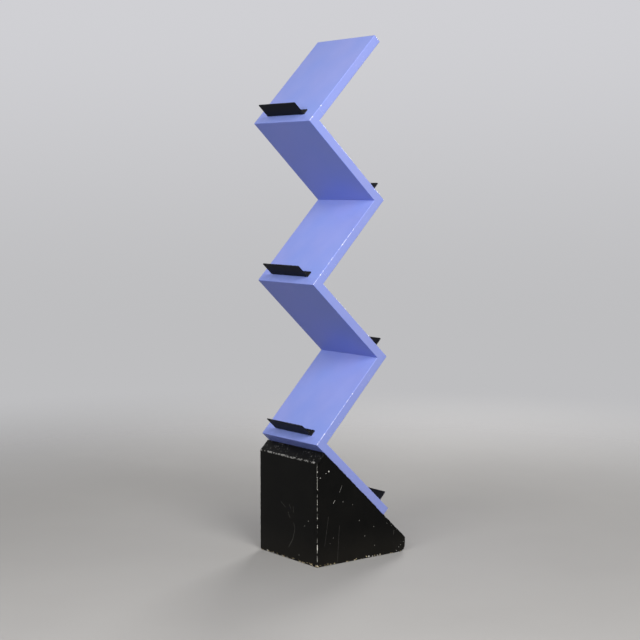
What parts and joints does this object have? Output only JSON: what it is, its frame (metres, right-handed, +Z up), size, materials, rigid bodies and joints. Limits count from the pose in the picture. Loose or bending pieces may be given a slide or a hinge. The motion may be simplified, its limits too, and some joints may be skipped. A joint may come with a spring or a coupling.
{
  "type": "magazine shelf",
  "caption": "Free-standing magazine shelf: painted boards zig-zag up from a black wedge base, each with a bent black lip that magazines stand on, facing front and rear by turns",
  "frame": {"origin": "middle of the base's underside, on the floor", "axes": "+Z up, front of the shelf towards -Y, +X to the right seen from the front"},
  "size_m": [0.304, 0.4014, 1.6398],
  "materials": {
    "board_paint": "satin lavender-blue paint on board, worn pale along its edges",
    "base_paint": "satin black paint on board, chipped along its edges",
    "lip_paint": "satin black paint on bent steel sheet",
    "black_screw": "blackened countersunk screws",
    "bare_board": "bare sawn wood and board",
    "ballast_iron": "rough cast iron",
    "zinc_steel": "zinc-plated steel",
    "insert_brass": "turned brass"
  },
  "bodies": {
    "root": {"shelf_board_1": "board_paint", "shelf_board_2": "board_paint", "shelf_board_3": "board_paint", "shelf_board_4": "board_paint", "shelf_board_5": "board_paint", "shelf_board_6": "board_paint", "base_side_right": "base_paint", "base_side_left": "base_paint", "base_front": "base_paint", "base_bevel": "base_paint", "base_slope": "base_paint", "base_toe_block": "base_paint", "magazine_lip_1": "lip_paint", "magazine_lip_2": "lip_paint", "magazine_lip_3": "lip_paint", "magazine_lip_4": "lip_paint", "magazine_lip_5": "lip_paint", "magazine_lip_6": "lip_paint", "lip_screws_1": "black_screw", "lip_screws_2": "black_screw", "lip_screws_3": "black_screw", "lip_screws_4": "black_screw", "lip_screws_5": "black_screw", "lip_screws_6": "black_screw", "base_bottom": "bare_board", "batten_front": "bare_board", "batten_left": "bare_board", "batten_right": "bare_board", "cleat_left": "bare_board", "cleat_right": "bare_board", "fold_tongue_1": "bare_board", "fold_tongue_2": "bare_board", "fold_tongue_3": "bare_board", "fold_tongue_4": "bare_board", "fold_tongue_5": "bare_board", "ballast_plate": "ballast_iron", "tower_bolts": "zinc_steel", "tower_washers": "zinc_steel", "bottom_screws": "zinc_steel", "tower_inserts": "insert_brass"}
  },
  "joints": []
}
